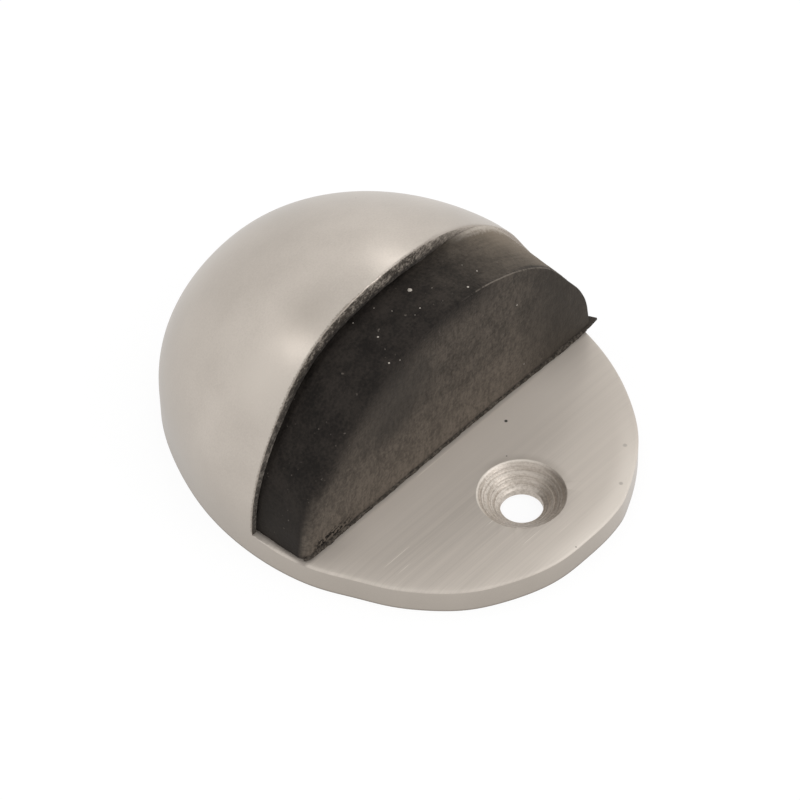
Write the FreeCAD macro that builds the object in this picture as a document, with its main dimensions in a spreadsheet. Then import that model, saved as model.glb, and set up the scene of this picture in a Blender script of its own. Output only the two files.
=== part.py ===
import FreeCAD, Part
import math
import os
import Sketcher

# Hooded door stop for the floor. An oval cast plate carries a hood on its back half, and an arched
# rubber block sits in the mouth of the hood, where the door meets it. Millimetres, +Z up.
# The origin is on the underside, where the plate is widest. The rubber faces -Y.

SIZES = (
    ("plateHalfWidth", 22.0, "half the width of the oval plate"),
    ("plateFrontReach", 25.5, "from the widest line forward to the tip of the oval"),
    ("plateBackReach", 26.8, "from the widest line back to the heel of the oval"),
    ("plateThickness", 3.0, "thickness of the plate"),
    ("plateEdgeBevel", 0.3, "bevel of the plate's top edge"),
    ("hoodRise", 21.0, "height of the hood above the plate"),
    ("hoodSetback", 1.0, "from the widest line back to the front edge of the hood"),
    ("hoodSideWall", 0.6, "wall of the hood beside the rubber, at the plate"),
    ("hoodCrownWall", 2.0, "wall of the hood above the rubber"),
    ("mouthDepth", 2.0, "how far the rubber's full section goes into the hood"),
    ("pocketStep", 2.2, "step all round from the mouth to the deeper part of the pocket"),
    ("pocketReach", 11.0, "from the widest line back to the end of the rubber's pocket"),
    ("seatClearance", 0.1, "gap between the rubber and what surrounds it"),
    ("bufferStandout", 7.3, "how far the rubber stands out in front of the hood"),
    ("bufferEdgeBevel", 0.4, "bevel of the rubber's arched front edge"),
    ("bufferFaceHollow", 0.6, "hollow of the rubber's front face at its middle"),
    ("flashReach", 1.35, "how far the tail of moulding flash sticks out sideways"),
    ("flashLength", 5.0, "length of the flash along the foot of the rubber"),
    ("flashThickness", 0.5, "thickness of the flash"),
    ("floorScrewForward", 16.4, "from the widest line forward to the floor screw's hole"),
    ("floorHoleDiameter", 4.4, "hole for the floor screw"),
    ("floorSinkDiameter", 9.0, "mouth of the floor screw's countersink"),
    ("floorSinkAngle", 100.0, "full angle of the floor screw's countersink"),
    ("bufferScrewBack", 5.0, "from the widest line back to the screw that holds the rubber"),
    ("bufferScrewDiameter", 3.5, "shank of the screw that holds the rubber"),
    ("bufferScrewHeadDiameter", 6.6, "head of the screw that holds the rubber"),
    ("bufferScrewHeadRecess", 0.2, "how far the head lies above the underside of the plate"),
    ("bufferScrewLength", 12.0, "length of the screw that holds the rubber"),
    ("bufferScrewPoint", 2.5, "length of the screw's point"),
    ("bufferScrewHoleGap", 0.2, "gap between the screw and its hole in the plate"),
    ("driveSlotLength", 3.8, "length of each slot of the screw's cross recess"),
    ("driveSlotWidth", 0.9, "width of each slot of the screw's cross recess"),
    ("driveSlotDepth", 1.1, "depth of the screw's cross recess"),
)
HALF_TURN = 180.0
QUARTER_TURN = 90.0
SCREW_HEAD_ANGLE = 90.0
CUT_MARGIN = 1.0  # how far a cutting shape runs past what it cuts
NEAR = 0.01  # two lengths closer than this count as equal when an edge is looked for

# Lengths that several shapes share, as expressions on the sheet
BESIDE = f"(sizes.plateHalfWidth + {CUT_MARGIN})"
AHEAD = f"(sizes.plateFrontReach + {CUT_MARGIN})"
BEHIND = f"(sizes.plateBackReach + {CUT_MARGIN})"
ABOVE = f"(sizes.hoodRise + {CUT_MARGIN})"
THROUGH = f"(sizes.plateThickness + {2 * CUT_MARGIN})"
MOUTH_HALF_WIDTH = "(sizes.plateHalfWidth - sizes.hoodSideWall)"
MOUTH_RISE = "(sizes.hoodRise - sizes.hoodCrownWall)"
MOUTH_END = "(sizes.hoodSetback + sizes.mouthDepth)"
BUFFER_HALF_WIDTH = f"({MOUTH_HALF_WIDTH} - sizes.seatClearance)"
BUFFER_RISE = f"({MOUTH_RISE} - sizes.seatClearance)"
BUFFER_FRONT = "(sizes.hoodSetback - sizes.bufferStandout)"
SCREW_TIP = "(sizes.bufferScrewHeadRecess + sizes.bufferScrewLength)"

# Numbers that a sketch uses for its own axes and for the points of an edge
X_AXIS, Y_AXIS = range(-1, -3, -1)
ORIGIN = X_AXIS
START, END, CENTRE = range(1, 4)

doc = FreeCAD.newDocument("hooded_door_stop")
sheet = doc.addObject("Spreadsheet::Sheet", "sizes")
for row, (name, value, meaning) in enumerate(SIZES, start=1):
    sheet.set(f"A{row}", meaning)
    sheet.set(f"B{row}", str(value))
    sheet.setAlias(f"B{row}", name)
doc.recompute()


def worth(expression):
    """The present value of an expression, to draw a sketch close to its final form."""
    return float(sheet.evalExpression(expression))


def near(value, expression):
    return abs(value - worth(expression)) < NEAR


def bind(sketch, kind, *where, size):
    """Adds a dimension to the sketch and ties it to an expression."""
    index = sketch.addConstraint(Sketcher.Constraint(kind, *where, worth(size)))
    sketch.setExpression(f"Constraints[{index}]", size)


def place(sketch, edge, point, x, y):
    """Ties one point of an edge to its place in the sketch, given as two expressions."""
    for kind, axis, where in (("DistanceX", Y_AXIS, x), ("DistanceY", X_AXIS, y)):
        if where == "0":
            sketch.addConstraint(Sketcher.Constraint("PointOnObject", edge, point, axis))
        elif worth(where) < 0:
            bind(sketch, kind, edge, point, ORIGIN, START, size=f"-({where})")
        else:
            bind(sketch, kind, ORIGIN, START, edge, point, size=where)


def polygon(sketch, corners):
    """A closed outline of straight edges through corners given as pairs of expressions."""
    points = [FreeCAD.Vector(worth(x), worth(y), 0) for x, y in corners]
    edges = [
        sketch.addGeometry(Part.LineSegment(point, following), False)
        for point, following in zip(points, points[1:] + points[:1])
    ]
    for edge, following in zip(edges, edges[1:] + edges[:1]):
        sketch.addConstraint(Sketcher.Constraint("Coincident", edge, END, following, START))
    for edge, (x, y) in zip(edges, corners):
        place(sketch, edge, START, x, y)


def circle(sketch, diameter, x, y):
    radius = worth(diameter) / 2
    centre = FreeCAD.Vector(worth(x), worth(y), 0)
    edge = sketch.addGeometry(Part.Circle(centre, FreeCAD.Vector(0, 0, 1), radius), False)
    bind(sketch, "Diameter", edge, size=diameter)
    place(sketch, edge, CENTRE, x, y)


def half_oval(sketch, across, along, base="0", joins=False):
    """Half of an oval that stands on the level line at the height base. A half that joins another one
    hangs below the line, and the other half's two ends give its width and its place along the line."""
    wide, tall, level = worth(across), worth(along), worth(base)
    centre = FreeCAD.Vector(0, level, 0)
    to_right = FreeCAD.Vector(wide, 0, 0)
    to_top = FreeCAD.Vector(0, tall, 0)
    begin = HALF_TURN if joins else 0.0
    # the longer half axis has to come first, so a tall oval is drawn a quarter turn on
    if wide >= tall:
        oval = Part.Ellipse(centre + to_right, centre + to_top, centre)
    else:
        oval = Part.Ellipse(centre + to_top, centre - to_right, centre)
        begin -= QUARTER_TURN
    limits = math.radians(begin), math.radians(begin + HALF_TURN)
    arc = sketch.addGeometry(Part.ArcOfEllipse(oval, *limits), False)
    sketch.exposeInternalGeometry(arc)
    long_axis, short_axis = arc + 1, arc + 2
    level_axis, upright_axis = (long_axis, short_axis) if wide >= tall else (short_axis, long_axis)
    if base == "0":
        sketch.addConstraint(Sketcher.Constraint("PointOnObject", arc, CENTRE, X_AXIS))
    else:
        bind(sketch, "DistanceY", ORIGIN, START, arc, CENTRE, size=base)
    sketch.addConstraint(Sketcher.Constraint("Horizontal", level_axis))
    bind(sketch, "Distance", upright_axis, size=f"2 * {along}")
    if not joins:
        sketch.addConstraint(Sketcher.Constraint("PointOnObject", arc, CENTRE, Y_AXIS))
        bind(sketch, "Distance", level_axis, size=f"2 * {across}")
    return arc


def whole_oval(sketch, across, along_back, along_front):
    """A closed oval whose back and front halves have their own lengths."""
    back = half_oval(sketch, across, along_back)
    front = half_oval(sketch, across, along_front, joins=True)
    for constraint in (
        Sketcher.Constraint("PointOnObject", back, START, X_AXIS),
        Sketcher.Constraint("PointOnObject", back, END, X_AXIS),
        Sketcher.Constraint("Coincident", back, END, front, START),
        Sketcher.Constraint("Coincident", front, END, back, START),
    ):
        sketch.addConstraint(constraint)


def arch(sketch, across, rise, base):
    """A closed arch: half an oval standing on a level foot line."""
    arc = half_oval(sketch, across, rise, base)
    ends = sketch.getPoint(arc, END), sketch.getPoint(arc, START)
    foot = sketch.addGeometry(Part.LineSegment(*ends), False)
    for constraint in (
        Sketcher.Constraint("Coincident", arc, END, foot, START),
        Sketcher.Constraint("Coincident", foot, END, arc, START),
        Sketcher.Constraint("Horizontal", foot),
        Sketcher.Constraint("PointOnObject", arc, CENTRE, foot),
    ):
        sketch.addConstraint(constraint)


def tie(thing, **properties):
    """Ties properties of a shape to expressions. An x, y or z is the place of the shape's origin."""
    for name, expression in properties.items():
        where = f"Placement.Base.{name}" if name in "xyz" else name
        thing.setExpression(where, expression)


def extrude(name, sketch, length):
    """A solid from a sketch, along the sketch's own normal."""
    solid = doc.addObject("Part::Extrusion", name)
    solid.Base = sketch
    solid.DirMode = "Normal"
    solid.Solid = True
    tie(solid, LengthFwd=length)
    return solid


def block(name, back_from, back_to, level, height):
    """A cutting block as wide as the plate and more, between two lines across it."""
    box = doc.addObject("Part::Box", name)
    tie(box, x=f"-{BESIDE}", y=back_from, z=level, Length=f"2 * {BESIDE}", Height=height)
    tie(box, Width=f"{back_to} - ({back_from})")
    return box


def cylinder(name, radius, height, y, z):
    solid = doc.addObject("Part::Cylinder", name)
    tie(solid, Radius=radius, Height=height, y=y, z=z)
    return solid


def cone(name, low_radius, high_radius, height, y, z):
    solid = doc.addObject("Part::Cone", name)
    tie(solid, Radius1=low_radius, Radius2=high_radius, Height=height, y=y, z=z)
    return solid


def common(name, base, tool):
    made = doc.addObject("Part::Common", name)
    made.Base, made.Tool = base, tool
    return made


def cut(name, base, *tools):
    """Cuts the tools from the base, one after the other. Each has to take some of it away."""
    for number, tool in enumerate(tools, start=1):
        last = number == len(tools)
        made = doc.addObject("Part::Cut", name if last else f"{name}_cut_{number}")
        made.Base, made.Tool = base, tool
        made.Refine = True
        doc.recompute()
        if not made.Shape.Volume < base.Shape.Volume:
            raise RuntimeError(f"{tool.Name} cuts nothing from {base.Name}")
        base = made
    return base


def new_sketch(body, name, role, offset="0"):
    """A sketch on one of the body's own planes, moved along the plane's normal by an expression."""
    sketch = body.newObject("Sketcher::SketchObject", name)
    attach(sketch, body, role, offset)
    return sketch


def attach(thing, body, role, offset):
    """Sets a sketch or a shape on one of the body's own planes."""
    plane = next(feature for feature in body.Origin.OriginFeatures if feature.Role == role)
    thing.AttachmentSupport = [(plane, "")]
    thing.MapMode = "FlatFace"
    thing.setExpression("AttachmentOffset.Base.z", offset)


def feature(body, kind, name, sketch, length=None):
    """A solid feature made from a sketch. It is recomputed, so that the next one can read its base."""
    made = body.newObject(f"PartDesign::{kind}", name)
    made.Profile = sketch
    if length is not None:
        made.setExpression("Length", length)
    doc.recompute()
    return made


def cut_up(body, name, sketch, length):
    """A pocket that runs upwards from a level sketch. It has to take some of the solid away."""
    before = body.Shape.Volume
    pocket = feature(body, "Pocket", name, sketch, length)
    pocket.Reversed = True
    doc.recompute()
    if not body.Shape.Volume < before:
        raise RuntimeError(f"{name} cuts nothing")
    return pocket


def bevel_edges(body, name, base, size, wanted):
    """Bevels the edges of the base feature that the test picks out."""
    chosen = [f"Edge{number}" for number, edge in enumerate(base.Shape.Edges, start=1) if wanted(edge)]
    if not chosen:
        raise RuntimeError(f"{name} finds no edge to bevel")
    made = body.newObject("PartDesign::Chamfer", name)
    made.Base = (base, chosen)
    made.setExpression("Size", size)
    doc.recompute()


def make_hood_body():
    """The casting: plate, hood, the pocket for the rubber and the two screw holes."""
    plan = doc.addObject("Sketcher::SketchObject", "plate_plan")
    whole_oval(plan, "sizes.plateHalfWidth", "sizes.plateBackReach", "sizes.plateFrontReach")
    plate = extrude("plate", plan, "sizes.plateThickness")
    toe_space = block("toe_space", f"-{AHEAD}", "sizes.hoodSetback", f"-{CUT_MARGIN}", ABOVE)
    toe = bevelled_toe(common("sharp_toe", plate, toe_space))
    heel_space = block("heel_space", "sizes.hoodSetback", BEHIND, f"-{CUT_MARGIN}", ABOVE)
    heel = common("heel", plate, heel_space)
    hood_egg = doc.addObject("Part::Ellipsoid", "hood_egg")
    tie(hood_egg, Radius1="sizes.hoodRise", Radius2="sizes.plateHalfWidth")
    tie(hood_egg, Radius3="sizes.plateBackReach", z="sizes.plateThickness")
    hood_space = block("hood_space", "sizes.hoodSetback", BEHIND, "sizes.plateThickness", ABOVE)
    hood = common("hood", hood_egg, hood_space)
    casting = doc.addObject("Part::MultiFuse", "casting")
    casting.Shapes = [toe, heel, hood]
    casting.Refine = True

    mouth = arched_space("mouth", MOUTH_HALF_WIDTH, MOUTH_RISE, MOUTH_END)
    pocket = arched_space(
        "pocket",
        f"({MOUTH_HALF_WIDTH} - sizes.pocketStep)",
        f"({MOUTH_RISE} - sizes.pocketStep)",
        "sizes.pocketReach",
    )
    return cut("hood_body", casting, mouth, pocket, *floor_screw_hole(), *buffer_screw_hole())


def arched_space(name, across, rise, back_to):
    """A cutting shape with an arched section, from in front of the hood back to a line across it."""
    section = doc.addObject("Sketcher::SketchObject", f"{name}_section")
    section.Placement.Rotation = FreeCAD.Rotation(FreeCAD.Vector(1, 0, 0), QUARTER_TURN)
    tie(section, y=f"-{CUT_MARGIN}")
    arch(section, across, rise, "sizes.plateThickness")
    space = extrude(name, section, f"{back_to} + {CUT_MARGIN}")
    space.Reversed = True
    return space


def bevelled_toe(base):
    """Bevels the top edge of the plate in front of the hood, which stands on the flat behind it."""
    doc.recompute()
    outline = [
        number
        for number, edge in enumerate(base.Shape.Edges, start=1)
        if near(edge.BoundBox.ZMin, "sizes.plateThickness")
        and not near(edge.BoundBox.YMin, "sizes.hoodSetback")
    ]
    made = doc.addObject("Part::Chamfer", "toe")
    made.Base = base
    bevel = worth("sizes.plateEdgeBevel")
    made.Edges = [(number, bevel, bevel) for number in outline]
    return made


def floor_screw_hole():
    """What the countersunk hole in front of the rubber takes away: its hole and its countersink."""
    y = "-sizes.floorScrewForward"
    hole = cylinder("floor_hole", "sizes.floorHoleDiameter / 2", THROUGH, y, f"-{CUT_MARGIN}")
    mouth = "(sizes.floorSinkDiameter / 2)"
    depth = f"({mouth} / tan(sizes.floorSinkAngle / 2))"
    sink = cone(
        "floor_sink",
        "0",
        f"{mouth} * (1 + {CUT_MARGIN} / {depth})",
        f"{depth} + {CUT_MARGIN}",
        y,
        f"sizes.plateThickness - {depth}",
    )
    return hole, sink


def buffer_screw_hole():
    """What the hole for the buffer screw takes away. Its seat narrows upwards, as the head does."""
    y = "sizes.bufferScrewBack"
    radius = "sizes.bufferScrewDiameter / 2 + sizes.bufferScrewHoleGap"
    hole = cylinder("screw_hole", radius, THROUGH, y, f"-{CUT_MARGIN}")
    slope = f"tan({SCREW_HEAD_ANGLE / 2})"
    mouth = f"(sizes.bufferScrewHeadDiameter / 2 + sizes.bufferScrewHeadRecess * {slope})"
    wide_end = f"({mouth} + {CUT_MARGIN} * {slope})"
    seat = cone("screw_seat", wide_end, "0", f"{wide_end} / {slope}", y, f"-{CUT_MARGIN}")
    return hole, seat


def make_rubber_buffer():
    """The moulded rubber: an arched nose that stands out of the hood and a plug in its pocket."""
    body = doc.addObject("PartDesign::Body", "rubber_buffer")
    nose_end = f"({MOUTH_END} - sizes.seatClearance)"
    nose_section = new_sketch(body, "nose_section", "XZ_Plane", f"-{nose_end}")
    arch(nose_section, BUFFER_HALF_WIDTH, BUFFER_RISE, "sizes.plateThickness")
    feature(body, "Pad", "nose", nose_section, f"{nose_end} - {BUFFER_FRONT}")
    plug_end = "(sizes.pocketReach - sizes.seatClearance)"
    plug_half_width = f"({BUFFER_HALF_WIDTH} - sizes.pocketStep)"
    plug_rise = f"({BUFFER_RISE} - sizes.pocketStep)"
    plug_section = new_sketch(body, "plug_section", "XZ_Plane", f"-{plug_end}")
    arch(plug_section, plug_half_width, plug_rise, "sizes.plateThickness")
    feature(body, "Pad", "plug", plug_section, plug_end)
    hollow = hollow_face(body)

    def on_front_arch(edge):
        box = edge.BoundBox
        reaches_foot = near(box.ZMin, "sizes.plateThickness")
        in_front = box.YMax < worth(BUFFER_FRONT) + worth("sizes.bufferFaceHollow") + NEAR
        return reaches_foot and in_front and box.ZLength > worth(BUFFER_RISE) / 2

    bevel_edges(body, "nose_edge", hollow, "sizes.bufferEdgeBevel", on_front_arch)

    flash = new_sketch(body, "flash_plan", "XY_Plane", "sizes.plateThickness")
    root = f"({BUFFER_HALF_WIDTH} - {CUT_MARGIN})"
    polygon(flash, (
        (root, f"{BUFFER_FRONT} + sizes.bufferEdgeBevel"),
        (f"{BUFFER_HALF_WIDTH} + sizes.flashReach", BUFFER_FRONT),
        (BUFFER_HALF_WIDTH, f"{BUFFER_FRONT} + sizes.flashLength"),
        (root, f"{BUFFER_FRONT} + sizes.flashLength"),
    ))
    feature(body, "Pad", "flash", flash, "sizes.flashThickness")

    pilot = new_sketch(body, "pilot_place", "XY_Plane", "sizes.plateThickness")
    circle(pilot, "sizes.bufferScrewDiameter + 2 * sizes.seatClearance", "0", "sizes.bufferScrewBack")
    cut_up(body, "pilot_hole", pilot, f"{SCREW_TIP} + sizes.seatClearance - sizes.plateThickness")
    return body


def hollow_face(body):
    """Hollows the rubber's front face with an upright cylinder that meets the face's two sides."""
    sketch = new_sketch(body, "face_plan", "XY_Plane", "sizes.plateThickness")
    radius = f"(({BUFFER_HALF_WIDTH}^2 + sizes.bufferFaceHollow^2) / (2 * sizes.bufferFaceHollow))"
    centre_y = f"({BUFFER_FRONT} + sizes.bufferFaceHollow - {radius})"
    side = f"({BUFFER_HALF_WIDTH} + {CUT_MARGIN})"
    ahead = f"({BUFFER_FRONT} - {2 * CUT_MARGIN})"
    centre = FreeCAD.Vector(0, worth(centre_y), 0)
    swing = math.acos(worth(side) / worth(radius))
    round_edge = Part.Circle(centre, FreeCAD.Vector(0, 0, 1), worth(radius))
    arc = sketch.addGeometry(Part.ArcOfCircle(round_edge, swing, math.pi - swing), False)
    left, right = sketch.getPoint(arc, END), sketch.getPoint(arc, START)
    left_ahead = FreeCAD.Vector(-worth(side), worth(ahead), 0)
    right_ahead = FreeCAD.Vector(worth(side), worth(ahead), 0)
    edges = [arc] + [
        sketch.addGeometry(Part.LineSegment(*ends), False)
        for ends in ((left, left_ahead), (left_ahead, right_ahead), (right_ahead, right))
    ]
    for edge, following in zip(edges, edges[1:] + edges[:1]):
        sketch.addConstraint(Sketcher.Constraint("Coincident", edge, END, following, START))
    bind(sketch, "Radius", arc, size=radius)
    place(sketch, arc, CENTRE, "0", centre_y)
    place(sketch, edges[2], START, f"-{side}", ahead)
    place(sketch, edges[2], END, side, ahead)
    sketch.addConstraint(Sketcher.Constraint("Vertical", edges[1]))
    sketch.addConstraint(Sketcher.Constraint("Vertical", edges[3]))
    return cut_up(body, "face_hollow", sketch, ABOVE)


def make_buffer_screw():
    """The countersunk screw that holds the rubber from below, with a cross recess in its head."""
    body = doc.addObject("PartDesign::Body", "buffer_screw")
    tie(body, y="sizes.bufferScrewBack")
    outline = new_sketch(body, "screw_outline", "XZ_Plane")
    head_level = "sizes.bufferScrewHeadRecess"
    head_height = (
        "((sizes.bufferScrewHeadDiameter - sizes.bufferScrewDiameter) / 2"
        f" / tan({SCREW_HEAD_ANGLE / 2}))"
    )
    shank_radius = "sizes.bufferScrewDiameter / 2"
    polygon(outline, (
        ("0", head_level),
        ("sizes.bufferScrewHeadDiameter / 2", head_level),
        (shank_radius, f"{head_level} + {head_height}"),
        (shank_radius, f"{SCREW_TIP} - sizes.bufferScrewPoint"),
        ("0", SCREW_TIP),
    ))
    turned = feature(body, "Revolution", "screw_shape", outline)
    turned.ReferenceAxis = (outline, ["V_Axis"])
    turned.Angle = 2 * HALF_TURN
    doc.recompute()

    slot_plan = new_sketch(body, "drive_slot_plan", "XY_Plane", head_level)
    long_side, short_side = "(sizes.driveSlotLength / 2)", "(sizes.driveSlotWidth / 2)"
    polygon(slot_plan, (
        (f"-{long_side}", f"-{short_side}"),
        (long_side, f"-{short_side}"),
        (long_side, short_side),
        (f"-{long_side}", short_side),
    ))
    slot = cut_up(body, "drive_slot", slot_plan, "sizes.driveSlotDepth")
    cross = body.newObject("PartDesign::PolarPattern", "drive_cross")
    cross.Originals = [slot]
    cross.Axis = (slot_plan, ["N_Axis"])
    cross.Angle = QUARTER_TURN
    cross.Occurrences = 2
    body.Tip = cross
    return body


parts = {
    "hood_body": make_hood_body(),
    "rubber_buffer": make_rubber_buffer(),
    "buffer_screw": make_buffer_screw(),
}
for label, part in parts.items():
    part.Label = label
doc.recompute()
for thing in doc.Objects:
    if "Invalid" in thing.State or "Error" in thing.State:
        raise RuntimeError(f"{thing.Name} failed: {thing.State}")
for label, part in parts.items():
    if part.Shape.isNull() or not part.Shape.isValid():
        raise RuntimeError(f"{label} has no valid shape")

os.makedirs("parts", exist_ok=True)
for label, part in parts.items():
    part.Shape.exportStep(f"parts/{label}.step")
    print(f"{label}: {len(part.Shape.Solids)} solid, {part.Shape.Volume:.1f} mm3")
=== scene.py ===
import math

import bmesh
import bpy
from mathutils import Matrix, Vector, noise
from mathutils.bvhtree import BVHTree


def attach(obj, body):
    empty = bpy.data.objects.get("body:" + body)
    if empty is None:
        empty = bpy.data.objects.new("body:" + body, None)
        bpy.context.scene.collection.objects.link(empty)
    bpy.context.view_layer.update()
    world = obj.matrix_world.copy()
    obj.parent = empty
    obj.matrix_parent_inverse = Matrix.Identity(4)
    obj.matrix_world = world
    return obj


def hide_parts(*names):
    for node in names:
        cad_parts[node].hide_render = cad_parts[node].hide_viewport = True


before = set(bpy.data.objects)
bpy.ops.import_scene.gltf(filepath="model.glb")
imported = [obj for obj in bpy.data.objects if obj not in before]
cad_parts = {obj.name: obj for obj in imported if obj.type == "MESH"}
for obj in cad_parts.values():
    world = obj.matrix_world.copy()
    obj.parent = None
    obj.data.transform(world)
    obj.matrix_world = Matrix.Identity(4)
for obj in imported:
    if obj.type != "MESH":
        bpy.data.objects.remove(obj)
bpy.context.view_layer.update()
millimetre = 0.001
near = 1e-4  # mm, closer than this counts as the same place
print("frame loaded:", ", ".join(sorted(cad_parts)))


def addObject(name, data):
    made = bpy.data.objects.new(name, data)
    bpy.context.scene.collection.objects.link(made)
    return made


# Camera

picture = {"side": 800, "sensor": 36.0}
cameraView = {
    "azimuth": -46.321,  # degrees, 0 looks along +Y
    "elevation": 47.599,
    "roll": -1.525,
    "aim": (1.732, 1.795, 2.276),  # mm, the point in the middle of the picture
    "distance": 455.327,
    "lens": 199.747,
    "clip": (0.01, 20.0),  # m
}


def makeCamera():
    lens = bpy.data.cameras.new("camera")
    lens.lens = cameraView["lens"]
    lens.sensor_width = picture["sensor"]
    lens.clip_start, lens.clip_end = cameraView["clip"]
    made = addObject("camera", lens)
    turn = Matrix.Rotation(math.radians(cameraView["azimuth"]), 4, "Z")
    turn @= Matrix.Rotation(math.radians(90 - cameraView["elevation"]), 4, "X")
    turn @= Matrix.Rotation(math.radians(cameraView["roll"]), 4, "Z")
    aim = Matrix.Translation(Vector(cameraView["aim"]) * millimetre)
    back = Matrix.Translation((0, 0, cameraView["distance"] * millimetre))
    made.matrix_world = aim @ turn @ back
    bpy.context.scene.camera = made
    return made


camera = makeCamera()


def sightLine(pixel):  # from the camera through a pixel of the picture, in mm
    focal = cameraView["lens"] / picture["sensor"] * picture["side"]
    middle = picture["side"] / 2
    ray = Vector((pixel[0] - middle, middle - pixel[1], -focal))
    ray.rotate(camera.matrix_world.to_quaternion())
    return camera.matrix_world.translation / millimetre, ray.normalized()


print("camera placed")


# Shader helpers

class Value:  # an output socket, on which sums can be written
    def __init__(self, shader, socket):
        self.shader = shader
        self.socket = socket

    def maths(self, operation, first, second=0.0):
        return self.shader.node("Math", {"operation": operation}, {0: first, 1: second})

    def __add__(self, other):
        return self.maths("ADD", self, other)

    def __radd__(self, other):
        return self.maths("ADD", other, self)

    def __sub__(self, other):
        return self.maths("SUBTRACT", self, other)

    def __rsub__(self, other):
        return self.maths("SUBTRACT", other, self)

    def __mul__(self, other):
        return self.maths("MULTIPLY", self, other)

    def __rmul__(self, other):
        return self.maths("MULTIPLY", other, self)

    def __pow__(self, other):
        return self.maths("POWER", self, other)


class Shader:  # the nodes of one material, or of the world
    def __init__(self, name, kind="materials"):
        self.owner = getattr(bpy.data, kind).new(name)
        self.owner.use_nodes = True
        self.tree = self.owner.node_tree
        self.tree.nodes.clear()
        self.coordinates = {}

    def node(self, kind, settings, inputs, output=0):
        made = self.tree.nodes.new("ShaderNode" + kind)
        for name, value in settings.items():
            setattr(made, name, value)
        for name, value in inputs.items():
            if isinstance(value, Value):
                self.tree.links.new(value.socket, made.inputs[name])
            else:
                made.inputs[name].default_value = value
        return None if output is None else Value(self, made.outputs[output])

    def place(self, scale=(1.0, 1.0, 1.0), turn=(0.0, 0.0, 0.0), shift=(0.0, 0.0, 0.0)):
        # the place on the piece in mm, stretched or turned
        where = self.node("TexCoord", {}, {}, "Object")
        inputs = {"Vector": where, "Scale": (1 / millimetre,) * 3, "Location": shift}
        where = self.node("Mapping", {}, inputs)
        return self.node("Mapping", {}, {"Vector": where, "Rotation": turn, "Scale": scale})

    def axis(self, name):  # one coordinate in mm
        if name not in self.coordinates:
            self.coordinates[name] = self.node("SeparateXYZ", {}, {0: self.place()}, name.upper())
        return self.coordinates[name]

    def axes(self, names):
        return [self.axis(name) for name in names]

    def noise(self, place, scale, detail, rough):
        inputs = {"Vector": place, "Scale": scale, "Detail": detail, "Roughness": rough}
        return self.node("TexNoise", {}, inputs)

    def noises(self, kinds):  # each kind is scale, detail and roughness, then what place() takes
        return [self.noise(self.place(*placing), *kind) for kind, *placing in kinds.values()]

    def ramp(self, value, low, high, start=0.0, end=1.0):  # a soft step from start to end
        inputs = {0: value, 1: low, 2: high, 3: start, 4: end}
        return self.node("MapRange", {"interpolation_type": "SMOOTHSTEP"}, inputs)

    def area(self, steps):  # the product of soft steps along the axes
        mask = 1.0
        for name, *limits in steps:
            mask = mask * self.ramp(self.axis(name), *limits)
        return mask

    def blend(self, factor, first, second):  # a colour between two colours
        return self.node("Mix", {"data_type": "RGBA"}, {0: factor, 6: first, 7: second}, 2)

    def coat(self, colour, kind, field=None, share=1.0):  # the colour with a tone laid over it
        laid, strength, steps, *limits = kind
        mask = self.area(steps) * strength * share
        if limits:
            mask = mask * self.ramp(field, *limits)
        return self.blend(mask, colour, laid)

    def bump(self, height, depth):
        inputs = {"Strength": 1.0, "Distance": depth * millimetre, "Height": height}
        return self.node("Bump", {}, inputs)

    def output(self, surface, kind="OutputMaterial"):
        self.node(kind, {}, {"Surface": surface}, None)
        return self.owner

    def finish(self, **sockets):  # a principled surface; an underscore stands for a blank
        named = {name.replace("_", " "): value for name, value in sockets.items()}
        return self.output(self.node("BsdfPrincipled", {}, named))


def tone(red, green, blue):
    return (red, green, blue, 1.0)


def squareSum(values):
    return sum(value * value for value in values)


def distance(point, place):
    return squareSum([value - other for value, other in zip(point, place)]) ** 0.5


# Mesh helpers

def paint(parts, finish):  # gives the faces among these parts their finish
    for part in parts:
        if isinstance(part, bmesh.types.BMFace):
            part.material_index = finish


def extrudeTo(bm, chain, place, finish=0):  # extrudes a chain; place says where each new vertex goes
    made = bmesh.ops.extrude_edge_only(bm, edges=chain)["geom"]
    verts = {part for part in made if isinstance(part, bmesh.types.BMVert)}
    for vert in verts:
        vert.co = place(vert)
    paint(made, finish)
    edges = [part for part in made if isinstance(part, bmesh.types.BMEdge)]
    return [edge for edge in edges if edge.verts[0] in verts and edge.verts[1] in verts]


def keepOnly(bm, verts, wanted):  # deletes the others; returns the verts that stay and their edges
    bmesh.ops.delete(bm, geom=[vert for vert in verts if not wanted(vert)], context="VERTS")
    kept = [vert for vert in verts if vert.is_valid]
    return kept, list({edge for vert in kept for edge in vert.link_edges})


def capArch(bm, chain, theta, finish=0):  # closes the end of an arched tunnel or block
    ends = sorted({vert for edge in chain for vert in edge.verts}, key=lambda vert: vert[theta])
    bm.faces.new(ends).material_index = finish


def fillLevel(bm, height, finish=0):  # fills what is still open at one level, round its holes
    def level(edge):
        return edge.is_boundary and all(abs(vert.co.z - height) < near for vert in edge.verts)

    rims = [edge for edge in bm.edges if level(edge)]
    paint(bmesh.ops.triangle_fill(bm, use_beauty=True, edges=rims)["geom"], finish)


def turnHole(bm, centre, profile, steps, finish=0):  # a hole turned from pairs of radius and height
    before = set(bm.faces)
    verts = [bm.verts.new((centre[0] + radius, centre[1], height)) for radius, height in profile]
    edges = [bm.edges.new(pair) for pair in zip(verts, verts[1:])]
    bmesh.ops.spin(
        bm, geom=verts + edges, cent=centre, axis=(0, 0, 1), angle=2 * math.pi, steps=steps, use_merge=True
    )
    paint(set(bm.faces) - before, finish)


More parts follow.
